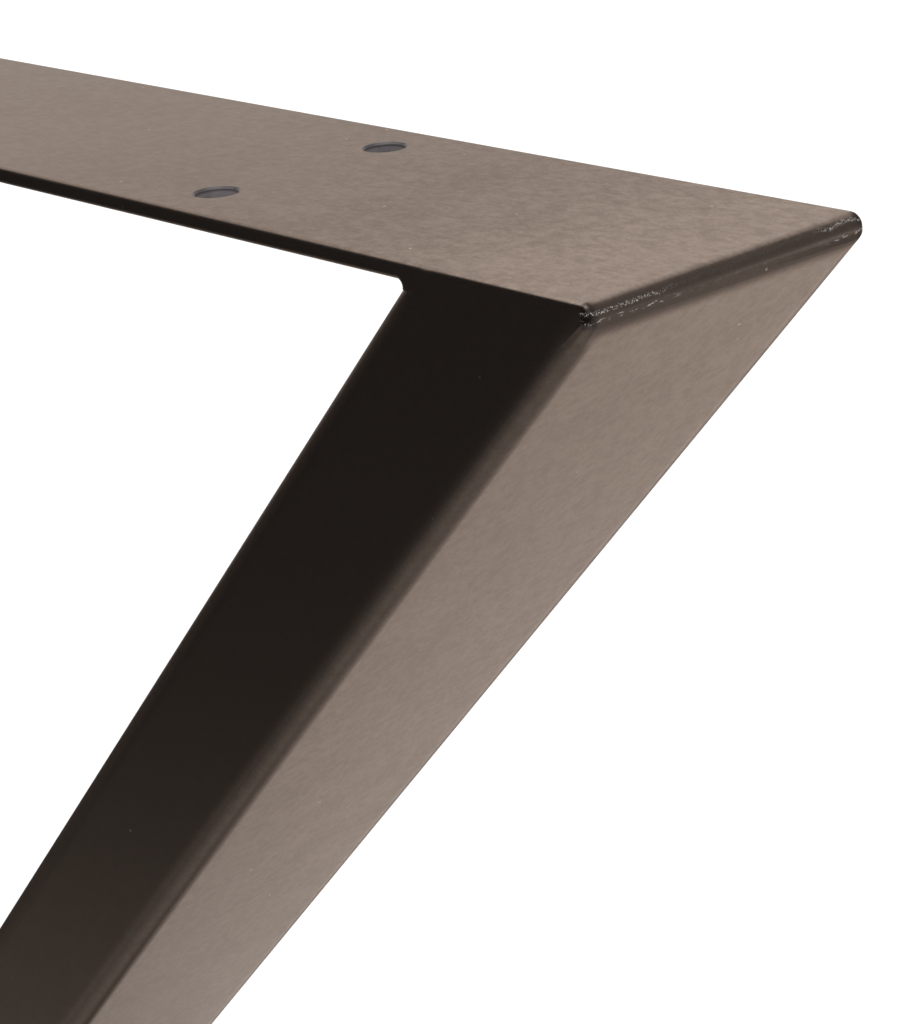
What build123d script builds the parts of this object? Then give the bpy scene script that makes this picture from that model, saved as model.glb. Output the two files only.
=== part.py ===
"""Crossed metal table leg: two rectangular tubes welded into an X under a flat top plate.

Millimetres, +Z up. X runs along the top plate, Y through the frame's depth, and the origin is
on the floor under the middle of the frame.
"""

import os
from math import asin, atan2, cos, degrees, hypot, pi, radians, sin, sqrt, tan

from build123d import *

# Driving dimensions
TOP_WIDTH = 750.0  # across the upper ground tips
FOOT_WIDTH = 650.0  # across the lower ground tips
HEIGHT = 720.0  # floor to the underside of the table top
DEPTH = 80.0  # broad side of the tube, and width of the top plate
TUBE = 40.0  # narrow side of the tube, which faces the front
WALL = 2.0
TUBE_EDGE = 3.0  # outer edge radius of the tube

TIP_CUT = 4.0  # each sharp tip is ground back by this much at the front, to a narrow upright face
TIP_SKEW = 1.0  # and by this much more at the back
TIP_RADIUS = 3.0  # above and below that face
TIP_EDGE = 1.2  # radius of the front edge there, which is built up with weld and ground
TIP_DRESSING = 16.0  # length over which it blends into the tube's own edge

PLATE = 4.0
PLATE_EDGE = 1.2
HOLE = 10.0
HOLE_SPACING = 50.0  # between the two holes of a pair, across the plate
PAIR_SPACING = 480.0  # between the two pairs, along the plate
HOLE_RIM = 0.5  # each hole is deburred at both ends

CORNER_WELD = 1.1  # radius of the hollow weld under the plate
WELD_EDGE = 2.5  # radius of the weld's own rim where it runs out on the tube
CROSSING_WELD = 4.0  # radius of the hollow welds at the crossing

FOOT_PLATE = 4.0
GLIDE_HEIGHT = 3.0
GLIDE = 22.0
GLIDE_EDGE = 1.0
GLIDE_SPACING = 50.0
STEM = 8.0
STEM_LENGTH = 14.0  # from the underside of the foot plate

# Levels, and the places where the tips would be if they were still sharp
PLATE_BOTTOM = HEIGHT - PLATE
STEEL_BOTTOM = GLIDE_HEIGHT
FOOT_TOP = STEEL_BOTTOM + FOOT_PLATE
STEEL_HEIGHT = HEIGHT - STEEL_BOTTOM
TIP_X = TOP_WIDTH / 2 + TIP_CUT
FOOT_TIP_X = FOOT_WIDTH / 2 + TIP_CUT
SPAN = TIP_X + FOOT_TIP_X

# Both legs lean as far as their upper and lower sharp tips demand
REACH = hypot(STEEL_HEIGHT, SPAN)
lean = atan2(STEEL_HEIGHT, SPAN) + asin(TUBE / REACH)

TUBE_FOOTPRINT = TUBE / sin(lean)
WAIST_X = (SPAN - STEEL_HEIGHT / tan(lean)) / 2
CROSSING = HEIGHT - (TIP_X - WAIST_X) * tan(lean)
INNER_CORNER_X = TIP_X - TUBE_FOOTPRINT - PLATE / tan(lean)
WELD_REACH = CORNER_WELD / tan(lean / 2)
GLIDE_X = (FOOT_WIDTH / 2 - TIP_SKEW - TIP_RADIUS + FOOT_TIP_X - TUBE_FOOTPRINT) / 2

# Distances along a leg from the crossing to its two sharp tips
TOP_END = TIP_X * cos(lean) + (HEIGHT - CROSSING) * sin(lean)
FOOT_END = FOOT_TIP_X * cos(lean) + (CROSSING - STEEL_BOTTOM) * sin(lean)

# The section plane stands square to the leg that rises to the right, with its own x towards the
# face that is outermost at the top.
SECTION = Plane(
    origin=(0, 0, CROSSING), x_dir=(sin(lean), 0, -cos(lean)), z_dir=(cos(lean), 0, sin(lean))
)


def rounding(stations, ruled=True):
    """What is cut away to round an edge. Each station gives a point on the sharp edge, the two
    directions from it along the faces that meet there, and the radius."""
    with BuildPart() as cutter:
        for point, along_a, along_b, radius in stations:
            with BuildSketch(Plane(origin=point, x_dir=along_a, z_dir=along_a.cross(along_b))):
                with BuildLine():
                    near = radius * (1 - sqrt(0.5))
                    ThreePointArc((0, radius), (near, near), (radius, 0))
                    Polyline((radius, 0), (radius, -1), (-1, -1), (-1, radius), (0, radius))
                make_face()
        loft(ruled=ruled)
    return cutter.part


def bar(inset=0.0, breadth=TUBE):
    """The tube's section, set in by inset, run right through the frame along the leg that rises
    to the right. A greater breadth grows it inwards from the face outermost at the top."""
    with BuildPart() as solid_bar:
        with BuildSketch(SECTION):
            with Locations(((TUBE - breadth) / 2, 0)):
                RectangleRounded(breadth - 2 * inset, DEPTH - 2 * inset, TUBE_EDGE - inset)
        extrude(amount=REACH, both=True)
    return solid_bar.part


# At each tip the front edge of the outermost face is built up square, then rounded again with a
# radius that shrinks towards the tip
tip_roundings = []
for start, end, outer in (
    (TOP_END - TIP_DRESSING, TOP_END, 1),
    (TIP_DRESSING - FOOT_END, -FOOT_END, -1),
):
    edge_stations = []
    for distance, radius in ((start, TUBE_EDGE), (end, TIP_EDGE)):
        edge_point = SECTION.from_local_coords(Vector(outer * TUBE / 2, -DEPTH / 2, distance))
        edge_stations.append((edge_point, SECTION.x_dir * -outer, SECTION.y_dir, radius))
    tip_roundings.append(rounding(edge_stations))


def leg_outline(breadth=TUBE):
    """The bar with its dressed tips."""
    plain_bar = bar(breadth=breadth)
    with BuildPart() as outline:
        add(plain_bar)
        for start, outer in ((TOP_END - TIP_DRESSING, 1), (-FOOT_END, -1)):
            with BuildSketch(SECTION.offset(start)):
                with Locations((outer * (TUBE - TUBE_EDGE) / 2, (TUBE_EDGE - DEPTH) / 2)):
                    Rectangle(TUBE_EDGE, TUBE_EDGE)
            extrude(amount=TIP_DRESSING)
        add(tip_roundings, mode=Mode.SUBTRACT)
    return outline.part


def half_envelope(level, sharp_x):
    """The frame's outline from the front, from the crossing to its upper or lower level, with the
    tips ground and the rims of the flat side rounded all the way round them."""
    with BuildPart() as half:
        with BuildSketch(Plane.XZ):
            with BuildLine():
                Polyline(
                    (-WAIST_X, CROSSING),
                    (WAIST_X, CROSSING),
                    (sharp_x, level),
                    (-sharp_x, level),
                    close=True,
                )
            make_face()
        extrude(amount=DEPTH / 2, both=True)
        for side in (-1, 1):
            ground_face = Plane(
                origin=(side * (sharp_x - TIP_CUT), -DEPTH / 2, level),
                z_dir=(side, TIP_SKEW / DEPTH, 0),
            )
            split(bisect_by=ground_face, keep=Keep.BOTTOM)
        across = half.edges().filter_by_position(Axis.Y, -1, 1).sort_by(Axis.X)
        fillet(across[:2] + across[-2:], TIP_RADIUS)
        rims = half.edges().filter_by(Axis.X).filter_by_position(Axis.Z, level - 1, level + 1)
        fillet(rims, PLATE_EDGE)
    return half.part


upper_envelope = half_envelope(HEIGHT, TIP_X)
lower_envelope = half_envelope(STEEL_BOTTOM, FOOT_TIP_X)
with BuildPart() as envelope:
    add(upper_envelope)
    add(lower_envelope)

# Both legs' outer form before they are joined to the plates
with BuildPart() as rising_left:
    add(mirror(leg_outline(), about=Plane.YZ))
    add(envelope.part, mode=Mode.INTERSECT)
left_form = rising_left.part
right_form = mirror(left_form, about=Plane.YZ)

hollow_right = bar(inset=WALL)
hollow_left = mirror(hollow_right, about=Plane.YZ)
inside_right = leg_outline(breadth=REACH)
inside_left = mirror(inside_right, about=Plane.YZ)

# The lower rims of the plate carry on round the hollow of each corner weld, and widen on the way
# to the tube's own edges
weld_roundings = []
for side in (-1, 1):
    rim_stations = []
    for step in range(5):
        turn = (pi - lean) * step / 4
        outwards = Vector(sin(turn), 0, cos(turn))
        middle = Vector(INNER_CORNER_X - WELD_REACH, side * DEPTH / 2, PLATE_BOTTOM - CORNER_WELD)
        radius = PLATE_EDGE + (WELD_EDGE - PLATE_EDGE) * step / 4
        rim_stations.append((middle + outwards * CORNER_WELD, outwards, Vector(0, -side, 0), radius))
    weld_rim = rounding(rim_stations, ruled=False)
    weld_roundings.append(weld_rim)
    weld_roundings.append(mirror(weld_rim, about=Plane.YZ))

# Top plate: cut to the legs' slope at both ends and rounded like the tube where they meet
with BuildPart() as top_plate:
    add(envelope.part)
    split(bisect_by=Plane.XY.offset(PLATE_BOTTOM), keep=Keep.TOP)
    add(inside_right, mode=Mode.INTERSECT)
    add(inside_left, mode=Mode.INTERSECT)
    with BuildSketch(Plane.YZ):
        for side in (-1, 1):
            with Locations((side * (DEPTH - PLATE_EDGE) / 2, PLATE_BOTTOM + PLATE_EDGE / 2)):
                Rectangle(PLATE_EDGE, PLATE_EDGE)
            with Locations((side * (DEPTH / 2 - PLATE_EDGE), PLATE_BOTTOM + PLATE_EDGE)):
                Circle(PLATE_EDGE, mode=Mode.SUBTRACT)
    extrude(amount=INNER_CORNER_X - WELD_REACH, both=True, mode=Mode.SUBTRACT)
    add(weld_roundings, mode=Mode.SUBTRACT)
    with Locations((0, 0, HEIGHT)):
        with GridLocations(PAIR_SPACING, HOLE_SPACING, 2, 2):
            Hole(radius=HOLE / 2, depth=PLATE)
    circles = top_plate.edges().filter_by(GeomType.CIRCLE)
    hole_rims = circles.filter_by(lambda rim: rim.radius == HOLE / 2)
    chamfer(hole_rims, HOLE_RIM)
top_plate.part.label = "top_plate"

# Leg in one length, from the top right to the bottom left
with BuildPart() as through_leg:
    add(right_form)
    add(hollow_right, mode=Mode.SUBTRACT)
    split(bisect_by=Plane.XY.offset(PLATE_BOTTOM), keep=Keep.BOTTOM)
    split(bisect_by=Plane.XY.offset(FOOT_TOP), keep=Keep.TOP)
through_leg.part.label = "through_leg"

# The other leg is cut in two and coped to the through leg's rounded edges
with BuildPart() as cut_leg:
    add(left_form)
    add(hollow_left, mode=Mode.SUBTRACT)
    split(bisect_by=Plane.XY.offset(PLATE_BOTTOM), keep=Keep.BOTTOM)
    split(bisect_by=Plane.XY.offset(FOOT_TOP), keep=Keep.TOP)
    add(right_form, mode=Mode.SUBTRACT)

with BuildPart() as upper_half_leg:
    add(cut_leg.solids().sort_by(Axis.Z)[-1])
upper_half_leg.part.label = "upper_half_leg"

with BuildPart() as lower_half_leg:
    add(cut_leg.solids().sort_by(Axis.Z)[0])
lower_half_leg.part.label = "lower_half_leg"

# Foot plates close the lower tube ends, flush all round, and take the stems of the glides
foot_plates = {}
for name, form, side in (
    ("left_foot_plate", right_form, -1),
    ("right_foot_plate", left_form, 1),
):
    with BuildPart() as foot_plate:
        add(form)
        split(bisect_by=Plane.XY.offset(FOOT_TOP), keep=Keep.BOTTOM)
        with Locations((side * GLIDE_X, 0, FOOT_TOP)):
            with GridLocations(0, GLIDE_SPACING, 1, 2):
                Hole(radius=STEM / 2, depth=FOOT_PLATE)
    foot_plate.part.label = name
    foot_plates[name] = foot_plate.part


def weld(corner, side_a, side_b, radius, root=0.0):
    """Hollow weld across the depth in the corner between two faces that run along the unit
    vectors side_a and side_b. The root carries on past side_b's face to fill in behind it."""
    half_angle = radians(side_a.get_angle(side_b)) / 2
    reach = radius / tan(half_angle)
    middle = (side_a + side_b).normalized()
    end_a = corner + side_a * reach
    end_b = corner + side_b * reach
    hollow = corner + middle * (radius / sin(half_angle) - radius)
    with BuildSketch(Plane.XZ) as profile:
        with BuildLine():
            ThreePointArc(end_b, hollow, end_a)
            if root:
                Polyline(end_a, corner - side_a * root, end_b - side_a * root, end_b)
            else:
                Polyline(end_a, corner, end_b)
        make_face()
    extrude(profile.sketch, amount=DEPTH / 2, both=True)


# Welds in the two sharp corners under the plate, whose rims blend the plate's into the tube's
with BuildPart() as right_weld:
    weld(
        Vector(INNER_CORNER_X, PLATE_BOTTOM),
        Vector(-1, 0),
        Vector(-cos(lean), -sin(lean)),
        CORNER_WELD,
        root=TUBE_EDGE,
    )
    add(right_form, mode=Mode.SUBTRACT)
    add(weld_roundings, mode=Mode.SUBTRACT)

corner_welds = {
    "weld_top_right": right_weld.part,
    "weld_top_left": mirror(right_weld.part, about=Plane.YZ),
}
for name, piece in corner_welds.items():
    piece.label = name

# Welds in the four corners of the crossing, one under, one over and one at each side
UP_RIGHT = Vector(cos(lean), sin(lean))
UP_LEFT = Vector(-cos(lean), sin(lean))
OVER = Vector(0, CROSSING + TUBE / 2 / cos(lean))
UNDER = Vector(0, CROSSING - TUBE / 2 / cos(lean))
AT_RIGHT = Vector(TUBE / 2 / sin(lean), CROSSING)
AT_LEFT = Vector(-TUBE / 2 / sin(lean), CROSSING)
with BuildPart() as crossing_welds:
    for corner, side_a, side_b in (
        (OVER, UP_LEFT, UP_RIGHT),
        (UNDER, -UP_LEFT, -UP_RIGHT),
        (AT_RIGHT, -UP_LEFT, UP_RIGHT),
        (AT_LEFT, UP_LEFT, -UP_RIGHT),
    ):
        weld(corner, side_a, side_b, CROSSING_WELD)
crossing_welds.part.label = "crossing_welds"


def glide_profile():
    """Half section of a floor glide about its own axis: a round pad with a broken rim, and the
    stem that is pressed into the foot plate."""
    with BuildSketch(Plane.XZ) as profile:
        with BuildLine():
            Polyline(
                (0, 0),
                (GLIDE / 2, 0),
                (GLIDE / 2, GLIDE_HEIGHT),
                (STEM / 2, GLIDE_HEIGHT),
                (STEM / 2, GLIDE_HEIGHT + STEM_LENGTH),
                (0, GLIDE_HEIGHT + STEM_LENGTH),
                close=True,
            )
        make_face()
        chamfer(profile.vertices().group_by(Axis.X)[-1].sort_by(Axis.Y)[0], GLIDE_EDGE)
    return profile.sketch


# Floor glides, two under each foot
glides = {}
for foot, x in (("left", -GLIDE_X), ("right", GLIDE_X)):
    for place, y in (("front", -GLIDE_SPACING / 2), ("rear", GLIDE_SPACING / 2)):
        with BuildPart() as glide:
            revolve(glide_profile(), axis=Axis.Z)
        glide.part.label = f"{foot}_{place}_glide"
        glides[glide.part.label] = glide.part.moved(Location((x, y, 0)))

os.makedirs("parts", exist_ok=True)
export_step(top_plate.part, "parts/top_plate.step")
export_step(through_leg.part, "parts/through_leg.step")
export_step(upper_half_leg.part, "parts/upper_half_leg.step")
export_step(lower_half_leg.part, "parts/lower_half_leg.step")
export_step(crossing_welds.part, "parts/crossing_welds.step")
for pieces in (foot_plates, corner_welds, glides):
    for name, piece in pieces.items():
        export_step(piece, f"parts/{name}.step")

print(f"lean {degrees(lean):.2f} degrees, crossing at {CROSSING:.2f} mm")
print(f"sharp tips at {TIP_X:.2f} and {FOOT_TIP_X:.2f} mm, glides at {GLIDE_X:.2f} mm")
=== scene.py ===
import math

import bmesh
import bpy
from mathutils import Matrix, Vector


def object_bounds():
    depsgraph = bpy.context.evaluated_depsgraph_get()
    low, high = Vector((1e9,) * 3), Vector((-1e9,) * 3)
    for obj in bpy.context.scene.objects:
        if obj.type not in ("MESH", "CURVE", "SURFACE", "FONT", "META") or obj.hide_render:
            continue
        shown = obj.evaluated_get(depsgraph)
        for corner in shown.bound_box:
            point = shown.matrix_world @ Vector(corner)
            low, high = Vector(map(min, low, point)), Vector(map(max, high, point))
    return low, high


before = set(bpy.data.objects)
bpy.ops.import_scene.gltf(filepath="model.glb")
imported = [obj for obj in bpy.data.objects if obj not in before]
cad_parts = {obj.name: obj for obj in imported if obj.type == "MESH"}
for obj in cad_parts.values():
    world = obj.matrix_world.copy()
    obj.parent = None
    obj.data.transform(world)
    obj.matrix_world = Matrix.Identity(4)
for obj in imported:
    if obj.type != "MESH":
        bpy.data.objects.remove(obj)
solid_low, solid_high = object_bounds()

# Camera, worked out from the straight edges and the two holes in the photograph
CAMERA_PLACE = Vector((0.716560, -0.365600, 0.859660))
CAMERA_AIM = Vector((0.285820, 0.0, 0.645754))
CAMERA_ROLL = math.radians(-4.350)
LENS = 92.82

# Places and sizes on the frame that the finish follows
TOP = solid_high.z
STEEL_BOTTOM = 0.003
CROSSING = 0.33409
HALF_DEPTH = solid_high.y
TUBE = 0.040
TUBE_EDGE = 0.003
LEAN = math.radians(47.64)
GROUND_X = solid_high.x
FEET_INSET = 0.050
TIP_CUT = 0.0040
GROUND_SKEW = 0.0010 / 0.080
HOLE_X = 0.240
HOLE_Y = 0.025
HOLE_RADIUS = 0.0050
HOLE_RIM = 0.0005

# Ground ends: how far down the ground face reaches, and the levels of the weld beads and of the
# grinding lines that are left on it
GROUND_REACH = 0.0053
BEADS_AT_FRONT = 0.0019
BEADS_AT_BACK = 0.0011
LINES_LEVEL = 0.0036

# Rounded edges: how far each curve runs out into the flat beside it, and how much the flat turns
NARROW_RUN_OUT = 0.0038
BROAD_RUN_OUT = 0.0028
EDGE_TURN = 0.21
TIP_TURN = 0.40

# Coat: how pale it lies, how much paler a painted highlight makes it beside the ground tips, how
# much its mottling shows, and how rough it is
PALENESS = 0.295
TIP_PAINTED_HIGHLIGHT = 0.45
FAR_MOTTLING = 0.07
NEAR_MOTTLING = 0.14
TIP_MOTTLING = 0.42
ROUGHEST = 0.33
SMOOTHEST = 0.28
EDGE_ROUGHNESS = 0.16

# Colours, as linear light
COAT_DEEP = (0.150, 0.112, 0.091, 1.0)
COAT_PALE = (0.400, 0.318, 0.268, 1.0)
COAT_SHEEN = (0.72, 0.66, 0.62, 1.0)
# The specks' pale colour is a painted highlight for the glints of raised nibs.
SPECK_PAINTED_GLINT = (0.62, 0.57, 0.53, 1.0)
HOLE_GREY = (0.300, 0.272, 0.285, 1.0)
# Painted shade at the top edge of the screw holes.
HOLE_RIM_PAINTED_SHADE = (0.135, 0.121, 0.124, 1.0)
BRIGHT_STEEL = (0.72, 0.68, 0.65, 1.0)
# Painted shade for the dressed corners of the ground ends.
CORNER_PAINTED_SHADE = (0.135, 0.105, 0.092, 1.0)
GLIDE_BLACK = (0.018, 0.018, 0.019, 1.0)
GLIDE_GREY = (0.034, 0.033, 0.033, 1.0)
FLOOR_WHITE = (0.93, 0.93, 0.93, 1.0)
FLOOR_LIFT = 0.22
WHITE = (1.0, 1.0, 1.0, 1.0)

# Glowing cloth that the coat mirrors: its painted levels of light, which give painted reflections,
# and the box that it makes
REFLECTION_GLOW_DARK = 0.03
REFLECTION_GLOW_GREY = 0.44
REFLECTION_GLOW_GREY_LEFT = 0.30
REFLECTION_GLOW_GREY_RIGHT = 0.25
REFLECTION_GLOW_WALL_RIGHT = 0.22
REFLECTION_GLOW_WALL_LEFT = 1.0
REFLECTION_GLOW_WHITE = 1.27
CLOTH_CORNERS = ((-7.0, -4.0), (4.5, -4.0), (4.5, 3.0), (-7.0, 3.0))
CLOTH_LEVEL = 0.002
CLOTH_HEIGHT = 7.0


def feed(tree, node, inputs):
    """Give each named input a value, or link it to another node's socket."""
    for name, value in inputs.items():
        if isinstance(value, bpy.types.NodeSocket):
            tree.links.new(value, node.inputs[name])
        else:
            node.inputs[name].default_value = value


def add_node(tree, kind, inputs=None, **settings):
    made = tree.nodes.new(kind)
    for name, value in settings.items():
        setattr(made, name, value)
    feed(tree, made, inputs or {})
    return made


def maths(tree, operation, a, b=0.0, c=0.0):
    return add_node(tree, "ShaderNodeMath", {0: a, 1: b, 2: c}, operation=operation).outputs[0]


def product(tree, first, *others):
    for other in others:
        first = maths(tree, "MULTIPLY", first, other)
    return first


def fade(tree, value, start, end, low=0.0, high=1.0):
    """Run smoothly from low to high as value goes from start to end."""
    inputs = {"Value": value, "From Min": start, "From Max": end, "To Min": low, "To Max": high}
    ramp = add_node(tree, "ShaderNodeMapRange", inputs, interpolation_type="SMOOTHSTEP")
    return ramp.outputs["Result"]


def ridge(tree, value, start, top, end):
    """Rise smoothly from nothing at start to one at top, and fall back to nothing at end."""
    return product(tree, fade(tree, value, end, top), fade(tree, value, start, top))


def noise(tree, place, scale, detail=2.0, roughness=0.5):
    inputs = {"Vector": place, "Scale": scale, "Detail": detail, "Roughness": roughness}
    return add_node(tree, "ShaderNodeTexNoise", inputs).outputs["Fac"]


def stretched(tree, place, scale):
    """Place with its axes scaled apart, so that a pattern on it is drawn out along one of them."""
    return add_node(tree, "ShaderNodeMapping", {"Vector": place, "Scale": scale}).outputs["Vector"]


def axes_of(tree, place):
    axes = add_node(tree, "ShaderNodeSeparateXYZ", {"Vector": place}).outputs
    return axes["X"], axes["Y"], axes["Z"]


def mixed(tree, share, a, b):
    inputs = {"Factor": share, "A": a, "B": b}
    return add_node(tree, "ShaderNodeMix", inputs, data_type="RGBA").outputs["Result"]


def new_group(name, inputs, outputs):
    """Start a node group with named float or vector sockets."""
    group = bpy.data.node_groups.new(name, "ShaderNodeTree")
    for label, kind in inputs:
        group.interface.new_socket(label, in_out="INPUT", socket_type=kind)
    for label, kind in outputs:
        group.interface.new_socket(label, in_out="OUTPUT", socket_type=kind)
    return group, group.nodes.new("NodeGroupInput").outputs, group.nodes.new("NodeGroupOutput")


def grain_group():
    """Fine grain of a sprayed and baked powder, with the soft mottling of its thickness."""
    group, given, out = new_group(
        "powder_grain",
        [("Place", "NodeSocketVector"), ("Grain Size", "NodeSocketFloat")],
        [("Paleness", "NodeSocketFloat"), ("Height", "NodeSocketFloat")],
    )
    per_metre = maths(group, "DIVIDE", 1.0, given["Grain Size"])
    fine = noise(group, given["Place"], per_metre, 3.0, 0.65)
    drawn_out = stretched(group, given["Place"], (0.35, 1.0, 1.0))
    dashes = noise(group, drawn_out, maths(group, "MULTIPLY", per_metre, 0.5))
    mottle = noise(group, given["Place"], maths(group, "MULTIPLY", per_metre, 0.22), 2.0, 0.6)
    patches = noise(group, given["Place"], 45.0, 3.0, 0.6)
    paleness = maths(group, "MULTIPLY_ADD", fine, 0.35, maths(group, "MULTIPLY", dashes, 0.20))
    paleness = maths(group, "MULTIPLY_ADD", mottle, 0.28, paleness)
    paleness = maths(group, "MULTIPLY_ADD", patches, 0.17, paleness)
    height = maths(group, "MULTIPLY_ADD", mottle, 0.6, fine)
    feed(group, out, {"Paleness": fade(group, paleness, 0.34, 0.66), "Height": height})
    return group


def specks_group():
    """Sparse specks that set in the powder: one small round grain in a few of the cells."""
    group, given, out = new_group(
        "powder_specks",
        [
            ("Place", "NodeSocketVector"),
            ("Spacing", "NodeSocketFloat"),
            ("Share", "NodeSocketFloat"),
        ],
        [("Speck", "NodeSocketFloat")],
    )
    per_metre = maths(group, "DIVIDE", 1.0, given["Spacing"])
    cells = add_node(group, "ShaderNodeTexVoronoi", {"Vector": given["Place"], "Scale": per_metre})
    colour = add_node(group, "ShaderNodeSeparateColor", {"Color": cells.outputs["Color"]})
    dot = fade(group, cells.outputs["Distance"], 0.050, 0.020)
    chosen = maths(group, "LESS_THAN", colour.outputs["Red"], given["Share"])
    strength = fade(group, colour.outputs["Green"], 0.0, 1.0, 0.25, 1.0)
    feed(group, out, {"Speck": product(group, dot, chosen, strength)})
    return group


def distances(group, place):
    """Sideways, depth, distance below the top or above the feet, distance in from the ground
    ends, and whether the place is above the crossing."""
    x, y, z = axes_of(group, place)
    upper = maths(group, "GREATER_THAN", z, CROSSING)
    below_top = maths(group, "SUBTRACT", TOP, z)
    above_foot = maths(group, "SUBTRACT", z, STEEL_BOTTOM)
    height = fade(group, upper, 0.0, 1.0, above_foot, below_top)
    widest = fade(group, upper, 0.0, 1.0, GROUND_X - FEET_INSET, GROUND_X)
    inside = maths(group, "SUBTRACT", widest, maths(group, "ABSOLUTE", x))
    return x, y, height, inside, upper


def tip_group():
    """The ground ends: the beads and scratches that the grinding left on them, their dressed
    corners, darkened with painted shade, how near they are on the flat side and how near they are
    anywhere."""
    group, given, out = new_group(
        "tip_grinding",
        [("Place", "NodeSocketVector")],
        [(name, "NodeSocketFloat") for name in ("Scratch", "Corner", "Nearness", "Closeness")],
    )
    x, y, height, inside, upper = distances(group, given["Place"])
    off_middle = maths(group, "ABSOLUTE", y)
    skewed = maths(group, "MULTIPLY", maths(group, "ADD", y, HALF_DEPTH), GROUND_SKEW)
    inside = maths(group, "SUBTRACT", inside, skewed)
    on_end = fade(group, inside, 0.0030, 0.0020)

    # The beads stand in one line, which wanders a little, and the finer lines below it
    front_share = fade(group, y, 0.0300, -0.0400)
    level = fade(group, front_share, 0.0, 1.0, BEADS_AT_BACK, BEADS_AT_FRONT)
    wander = noise(group, stretched(group, given["Place"], (0.0, 1.0, 0.0)), 160.0, 2.0)
    level = maths(group, "ADD", level, fade(group, wander, 0.3, 0.7, -0.0003, 0.0003))
    from_beads = maths(group, "ABSOLUTE", maths(group, "SUBTRACT", height, level))
    beads = fade(group, noise(group, given["Place"], 2600.0, 3.0, 0.75), 0.50, 0.60)
    beads = product(group, beads, fade(group, from_beads, 0.0006, 0.0001))
    from_lines = maths(group, "ABSOLUTE", maths(group, "SUBTRACT", height, LINES_LEVEL))
    lengthwise = stretched(group, given["Place"], (1.0, 0.18, 1.0))
    lines = fade(group, noise(group, lengthwise, 2600.0, 2.0, 0.6), 0.55, 0.66)
    lines = product(group, lines, fade(group, from_lines, 0.0006, 0.0002))

    # Both show most near the front and back corners
    near_front = fade(group, y, -0.0080, -0.0300)
    near_back = fade(group, y, 0.0220, 0.0300, 0.0, 0.7)
    worn = fade(group, maths(group, "ADD", near_front, near_back), 0.0, 1.0, 0.12, 1.0)
    scratch = product(group, maths(group, "MAXIMUM", beads, lines), worn)
    band = product(group, on_end, fade(group, height, 0.0060, 0.0050))
    at_corner = product(group, on_end, fade(group, off_middle, 0.0370, 0.0388))
    on_flat = fade(group, height, 0.0012, 0.0003)
    made = {
        "Scratch": product(group, scratch, band),
        "Corner": product(group, at_corner, fade(group, height, 0.0060, 0.0045)),
        "Nearness": product(group, fade(group, inside, 0.200, 0.0), on_flat),
        "Closeness": fade(group, inside, 0.300, 0.050),
    }
    feed(group, out, made)
    return group


def edges_group():
    """Normals eased beside the rounded edges, whose curves run out gently into the flats."""
    group, given, out = new_group(
        "eased_edges",
        [("Place", "NodeSocketVector"), ("Normal", "NodeSocketVector")],
        [("Normal", "NodeSocketVector"), ("Edge", "NodeSocketFloat")],
    )
    x, y, height, inside, upper = distances(group, given["Place"])
    off_middle = maths(group, "ABSOLUTE", y)

    # Distance across the tube's narrow side, and to the nearer of its two edges, of which there
    # are none where the tubes cross
    square_on = product(group, maths(group, "ADD", inside, TIP_CUT), math.sin(LEAN))
    across = maths(group, "SUBTRACT", square_on, product(group, height, math.cos(LEAN)))
    from_edge = maths(group, "MINIMUM", across, maths(group, "SUBTRACT", TUBE, across))
    at_crossing = fade(group, maths(group, "ABSOLUTE", x), 0.036, 0.026, 0.0, TUBE / 2)
    from_edge = maths(group, "ADD", from_edge, at_crossing)

    # On the narrow front and back, the flat turns towards its nearer edge
    run_out = TUBE_EDGE + NARROW_RUN_OUT
    beside_edge = ridge(group, from_edge, 0.0009, TUBE_EDGE, run_out)
    share = fade(group, off_middle, HALF_DEPTH - TUBE_EDGE, 0.0388, 0.0, EDGE_TURN)
    outwards = fade(group, across, 0.48 * TUBE, 0.52 * TUBE, 1.0, -1.0)
    on_narrow = product(group, beside_edge, share, outwards)

    # On the broad sides, it turns to the front or the back
    edge_line = HALF_DEPTH - TUBE_EDGE
    beside_edge = ridge(group, off_middle, edge_line - BROAD_RUN_OUT, edge_line, 0.0391)
    share = fade(group, height, 0.0060, 0.0120, 0.0, EDGE_TURN)
    on_slope = fade(group, from_edge, 0.0034, 0.0026)
    on_broad = product(group, beside_edge, share, on_slope, maths(group, "SIGN", y))

    # Under the ground ends, it turns up or down
    under_tip = ridge(group, height, 0.0032, GROUND_REACH, 0.0095)
    under_tip = product(group, under_tip, fade(group, inside, 0.0200, 0.0140, 0.0, TIP_TURN))
    under_tip = product(group, under_tip, fade(group, off_middle, 0.0400, 0.0378))

    sideways = product(group, on_narrow, math.sin(LEAN), maths(group, "SIGN", x))
    upright = maths(group, "MULTIPLY_ADD", on_narrow, -math.cos(LEAN), under_tip)
    upright = product(group, upright, fade(group, upper, 0.0, 1.0, -1.0, 1.0))
    turn = add_node(
        group, "ShaderNodeCombineXYZ", {"X": sideways, "Y": on_broad, "Z": upright}
    ).outputs[0]
    summed = add_node(
        group, "ShaderNodeVectorMath", {0: given["Normal"], 1: turn}, operation="ADD"
    ).outputs[0]
    eased = add_node(group, "ShaderNodeVectorMath", {0: summed}, operation="NORMALIZE").outputs[0]

    edge = product(
        group,
        fade(group, from_edge, 0.0045, 0.0025),
        fade(group, off_middle, 0.0355, 0.0375),
        fade(group, height, 0.0040, 0.0100),
    )
    feed(group, out, {"Normal": eased, "Edge": edge})
    return group


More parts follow.
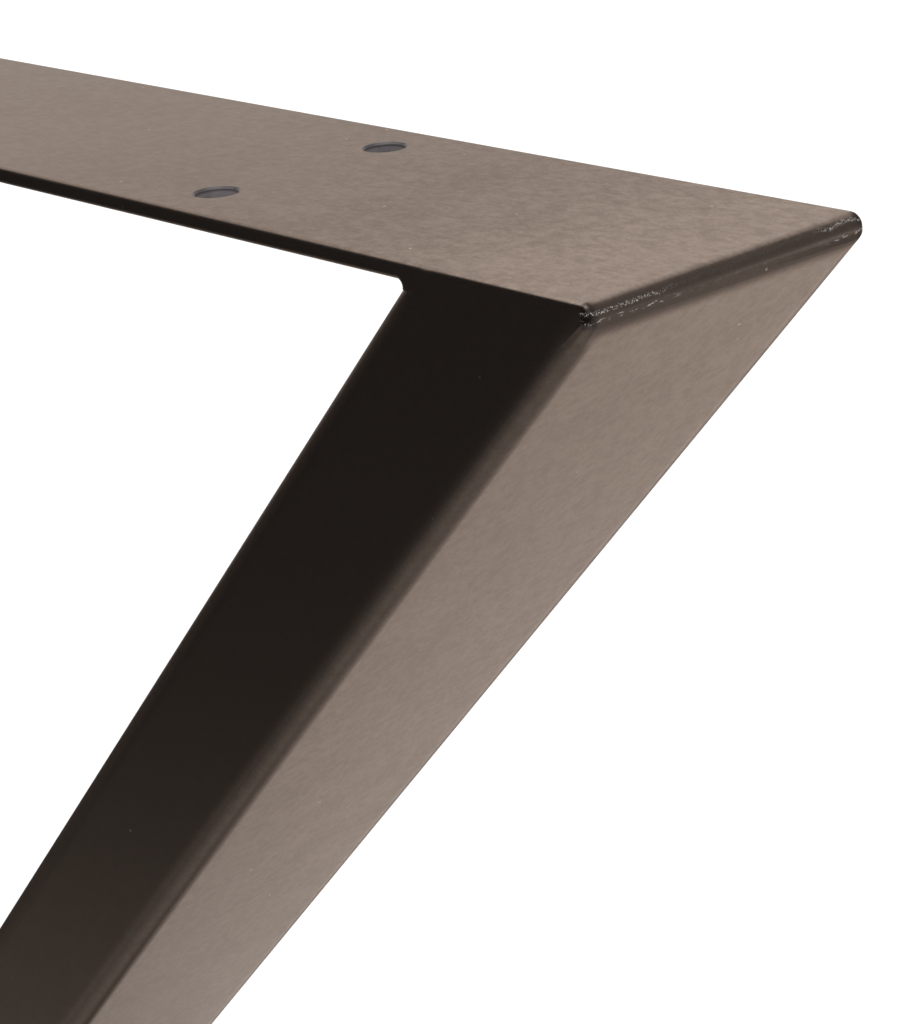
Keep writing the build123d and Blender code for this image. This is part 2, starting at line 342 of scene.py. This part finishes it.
def hole_group():
    """The screw holes, where little powder reaches: grey walls under a rim darkened with painted
    shade.
    """
    group, given, out = new_group(
        "hole_walls",
        [("Place", "NodeSocketVector")],
        [("Wall", "NodeSocketFloat"), ("Rim", "NodeSocketFloat")],
    )
    x, y, z = axes_of(group, given["Place"])
    along = maths(group, "SUBTRACT", maths(group, "ABSOLUTE", x), HOLE_X)
    across = maths(group, "SUBTRACT", maths(group, "ABSOLUTE", y), HOLE_Y)
    square = maths(group, "MULTIPLY_ADD", along, along, product(group, across, across))
    from_axis = maths(group, "SQRT", square)
    in_plate = fade(group, z, TOP - 0.0060, TOP - 0.0050)
    rim = fade(group, from_axis, HOLE_RADIUS + 1.3 * HOLE_RIM, HOLE_RADIUS + 0.8 * HOLE_RIM)
    wall = fade(group, z, TOP - 0.0002 - HOLE_RIM, TOP - 0.0008 - HOLE_RIM)
    feed(group, out, {"Wall": wall, "Rim": product(group, rim, in_plate)})
    return group


GRAIN = grain_group()
SPECKS = specks_group()
TIP = tip_group()
EDGES = edges_group()
HOLE = hole_group()


def use_group(tree, group, inputs):
    return add_node(tree, "ShaderNodeGroup", inputs, node_tree=group).outputs


def new_material(name):
    material = bpy.data.materials.new(name)
    material.use_nodes = True
    tree = material.node_tree
    tree.nodes.clear()
    return material, tree


def finish_with(tree, surface):
    add_node(tree, "ShaderNodeOutputMaterial", {"Surface": surface})


def coated_steel():
    """Satin powder coat with a metallic sheen, mottled, and paler towards the ground tips with a
    painted highlight.
    """
    material, tree = new_material("satin_bronze_coat")
    place = add_node(tree, "ShaderNodeTexCoord").outputs["Object"]
    grain = use_group(tree, GRAIN, {"Place": place, "Grain Size": 0.0007})
    specks = use_group(tree, SPECKS, {"Place": place, "Spacing": 0.010, "Share": 0.7})
    tip = use_group(tree, TIP, {"Place": place})
    hole = use_group(tree, HOLE, {"Place": place})

    mottling = fade(tree, tip["Closeness"], 0.0, 1.0, FAR_MOTTLING, NEAR_MOTTLING)
    mottling = maths(tree, "MULTIPLY_ADD", tip["Nearness"], TIP_MOTTLING, mottling)
    uneven = maths(tree, "SUBTRACT", grain["Paleness"], 0.5)
    # Painted highlight: the coat is made paler on the flat beside the ground tips.
    painted_highlight_at_tip = maths(tree, "POWER", tip["Nearness"], 6.0)
    paleness = maths(tree, "MULTIPLY_ADD", painted_highlight_at_tip, TIP_PAINTED_HIGHLIGHT, PALENESS)
    paleness = maths(tree, "MULTIPLY_ADD", uneven, mottling, paleness)
    colour = mixed(tree, paleness, COAT_DEEP, COAT_PALE)
    # Specks: raised nibs in the powder, painted pale as their glints.
    colour = mixed(tree, specks["Speck"], colour, SPECK_PAINTED_GLINT)
    # Painted shade: the dressed corners of the ground ends are darkened.
    colour = mixed(tree, tip["Corner"], colour, CORNER_PAINTED_SHADE)
    colour = mixed(tree, tip["Scratch"], colour, BRIGHT_STEEL)
    # Painted shade: the bore is darker near its top edge and grey deeper down.
    bore = mixed(tree, hole["Wall"], HOLE_RIM_PAINTED_SHADE, HOLE_GREY)
    colour = mixed(tree, hole["Rim"], colour, bore)

    bare = maths(tree, "MAXIMUM", hole["Rim"], tip["Scratch"])
    geometry = add_node(tree, "ShaderNodeNewGeometry").outputs["Normal"]
    eased = use_group(tree, EDGES, {"Place": place, "Normal": geometry})
    roughness = fade(tree, grain["Paleness"], 0.0, 1.0, ROUGHEST, SMOOTHEST)
    roughness = maths(tree, "MULTIPLY_ADD", eased["Edge"], EDGE_ROUGHNESS, roughness)
    height = maths(tree, "MULTIPLY_ADD", specks["Speck"], 3.0, grain["Height"])
    height = maths(tree, "MULTIPLY_ADD", tip["Scratch"], 1.5, height)
    relief = {"Height": height, "Normal": eased["Normal"], "Strength": 0.9, "Distance": 0.000012}
    made = {
        "Base Color": colour,
        "Metallic": fade(tree, bare, 0.0, 1.0, 0.98, 0.5),
        "Specular Tint": COAT_SHEEN,
        "Roughness": roughness,
        "Normal": add_node(tree, "ShaderNodeBump", relief).outputs["Normal"],
    }
    finish_with(tree, add_node(tree, "ShaderNodeBsdfPrincipled", made).outputs["BSDF"])
    return material


def glide_plastic():
    """Matt moulded plastic with the faint cloudiness of a worn pad."""
    material, tree = new_material("glide_plastic")
    place = add_node(tree, "ShaderNodeTexCoord").outputs["Object"]
    grain = use_group(tree, GRAIN, {"Place": place, "Grain Size": 0.0004})
    clouds = fade(tree, noise(tree, place, 180.0, 4.0, 0.6), 0.35, 0.7)
    relief = {"Height": grain["Height"], "Strength": 0.5, "Distance": 0.00004}
    made = {
        "Base Color": mixed(tree, clouds, GLIDE_BLACK, GLIDE_GREY),
        "Roughness": fade(tree, clouds, 0.0, 1.0, 0.5, 0.68),
        "Normal": add_node(tree, "ShaderNodeBump", relief).outputs["Normal"],
    }
    finish_with(tree, add_node(tree, "ShaderNodeBsdfPrincipled", made).outputs["BSDF"])
    return material


STEEL = coated_steel()
PLASTIC = glide_plastic()
for name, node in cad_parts.items():
    finish = PLASTIC if name.endswith("_glide") else STEEL
    for slot in node.material_slots:
        slot.material = finish


def camera():
    data = bpy.data.cameras.new("camera")
    data.lens = LENS
    data.clip_start = 0.01
    data.clip_end = 60.0
    aimed = (CAMERA_AIM - CAMERA_PLACE).to_track_quat("-Z", "Y").to_matrix().to_4x4()
    rolled = Matrix.Rotation(CAMERA_ROLL, 4, "Z")
    view = bpy.data.objects.new("camera", data)
    view.matrix_world = Matrix.Translation(CAMERA_PLACE) @ aimed @ rolled
    bpy.context.scene.collection.objects.link(view)
    bpy.context.scene.camera = view


def stage_piece(name, shape, material):
    mesh = bpy.data.meshes.new(name)
    shape.to_mesh(mesh)
    shape.free()
    mesh.materials.append(material)
    piece = bpy.data.objects.new(name, mesh)
    bpy.context.scene.collection.objects.link(piece)
    return piece


def floor():
    """Plain white floor that keeps the frame's shadow, a little brighter straight to the eye."""
    material, tree = new_material("pale_floor")
    matt = add_node(tree, "ShaderNodeBsdfDiffuse", {"Color": FLOOR_WHITE}).outputs[0]
    seen = add_node(tree, "ShaderNodeLightPath").outputs["Is Camera Ray"]
    glow = {"Color": FLOOR_WHITE, "Strength": product(tree, seen, FLOOR_LIFT)}
    lift = add_node(tree, "ShaderNodeEmission", glow).outputs[0]
    finish_with(tree, add_node(tree, "ShaderNodeAddShader", {0: matt, 1: lift}).outputs[0])
    shape = bmesh.new()
    bmesh.ops.create_circle(shape, cap_ends=True, segments=96, radius=25.0)
    stage_piece("floor", shape, material)


def surround():
    """Glowing cloth for the bright coat to mirror, on the floor and all round: white behind, grey
    at the right and dark in front, painted light that the coat shows as painted reflections and
    painted shade. Only reflections show it, and it casts no shadow."""
    material, tree = new_material("painted_reflection_cloth")
    x, y, z = axes_of(tree, add_node(tree, "ShaderNodeTexCoord").outputs["Object"])

    # On the floor it is white from a slanting line behind the frame onwards
    beside = maths(tree, "MAXIMUM", maths(tree, "ADD", x, 0.15), 0.0)
    behind = maths(tree, "SUBTRACT", y, maths(tree, "MULTIPLY_ADD", beside, 0.95, 0.13))
    grey = fade(tree, x, -0.7, -0.2, REFLECTION_GLOW_GREY_LEFT, REFLECTION_GLOW_GREY)
    grey = fade(tree, x, 0.4, 0.9, grey, REFLECTION_GLOW_GREY_RIGHT)
    in_front = maths(tree, "MULTIPLY_ADD", x, 0.25, y)
    grey = fade(tree, in_front, -1.0, -0.22, REFLECTION_GLOW_DARK, grey)
    below = fade(tree, behind, -0.14, 0.20, grey, REFLECTION_GLOW_WHITE)

    # All round it is dark in front, and behind it goes from grey at the right to white at the left
    back = fade(tree, x, 1.3, -2.7, REFLECTION_GLOW_WALL_RIGHT, REFLECTION_GLOW_WALL_LEFT)
    around = fade(tree, y, -1.5, 0.3, REFLECTION_GLOW_DARK, back)
    level = fade(tree, z, 0.0, 0.05, below, around)
    # The cloth's glow is painted light: the coat shows it as painted reflections and painted
    # shade.
    glow = {"Color": WHITE, "Strength": level}
    finish_with(tree, add_node(tree, "ShaderNodeEmission", glow).outputs[0])

    shape = bmesh.new()
    shape.faces.new([shape.verts.new((*corner, CLOTH_LEVEL)) for corner in CLOTH_CORNERS])
    raised = bmesh.ops.extrude_edge_only(shape, edges=shape.edges[:])["geom"]
    rim = [item for item in raised if isinstance(item, bmesh.types.BMVert)]
    bmesh.ops.translate(shape, verts=rim, vec=(0, 0, CLOTH_HEIGHT))
    piece = stage_piece("painted_reflection_cloth", shape, material)
    piece.visible_camera = False
    piece.visible_diffuse = False
    piece.visible_shadow = False


def light():
    """Even white light all round, and one broad soft lamp high up at the front right."""
    world = bpy.data.worlds.new("studio")
    bpy.context.scene.world = world
    world.use_nodes = True
    tree = world.node_tree
    tree.nodes.clear()
    path = add_node(tree, "ShaderNodeLightPath").outputs
    mirrored = maths(tree, "MAXIMUM", path["Is Glossy Ray"], path["Is Transmission Ray"])
    shown = maths(tree, "MAXIMUM", path["Is Camera Ray"], mirrored)
    studio = {"Color": WHITE, "Strength": fade(tree, shown, 0.0, 1.0, 0.8, 1.0)}
    background = add_node(tree, "ShaderNodeBackground", studio).outputs[0]
    add_node(tree, "ShaderNodeOutputWorld", {"Surface": background})
    data = bpy.data.lights.new("key", "SUN")
    data.energy = 0.8
    data.angle = math.radians(40)
    key = bpy.data.objects.new("key", data)
    key.rotation_mode = "QUATERNION"
    key.rotation_quaternion = Vector((-0.5, 0.4, -0.77)).to_track_quat("-Z", "Y")
    bpy.context.scene.collection.objects.link(key)


camera()
floor()
surround()
light()
bpy.context.scene.view_settings.view_transform = "Standard"
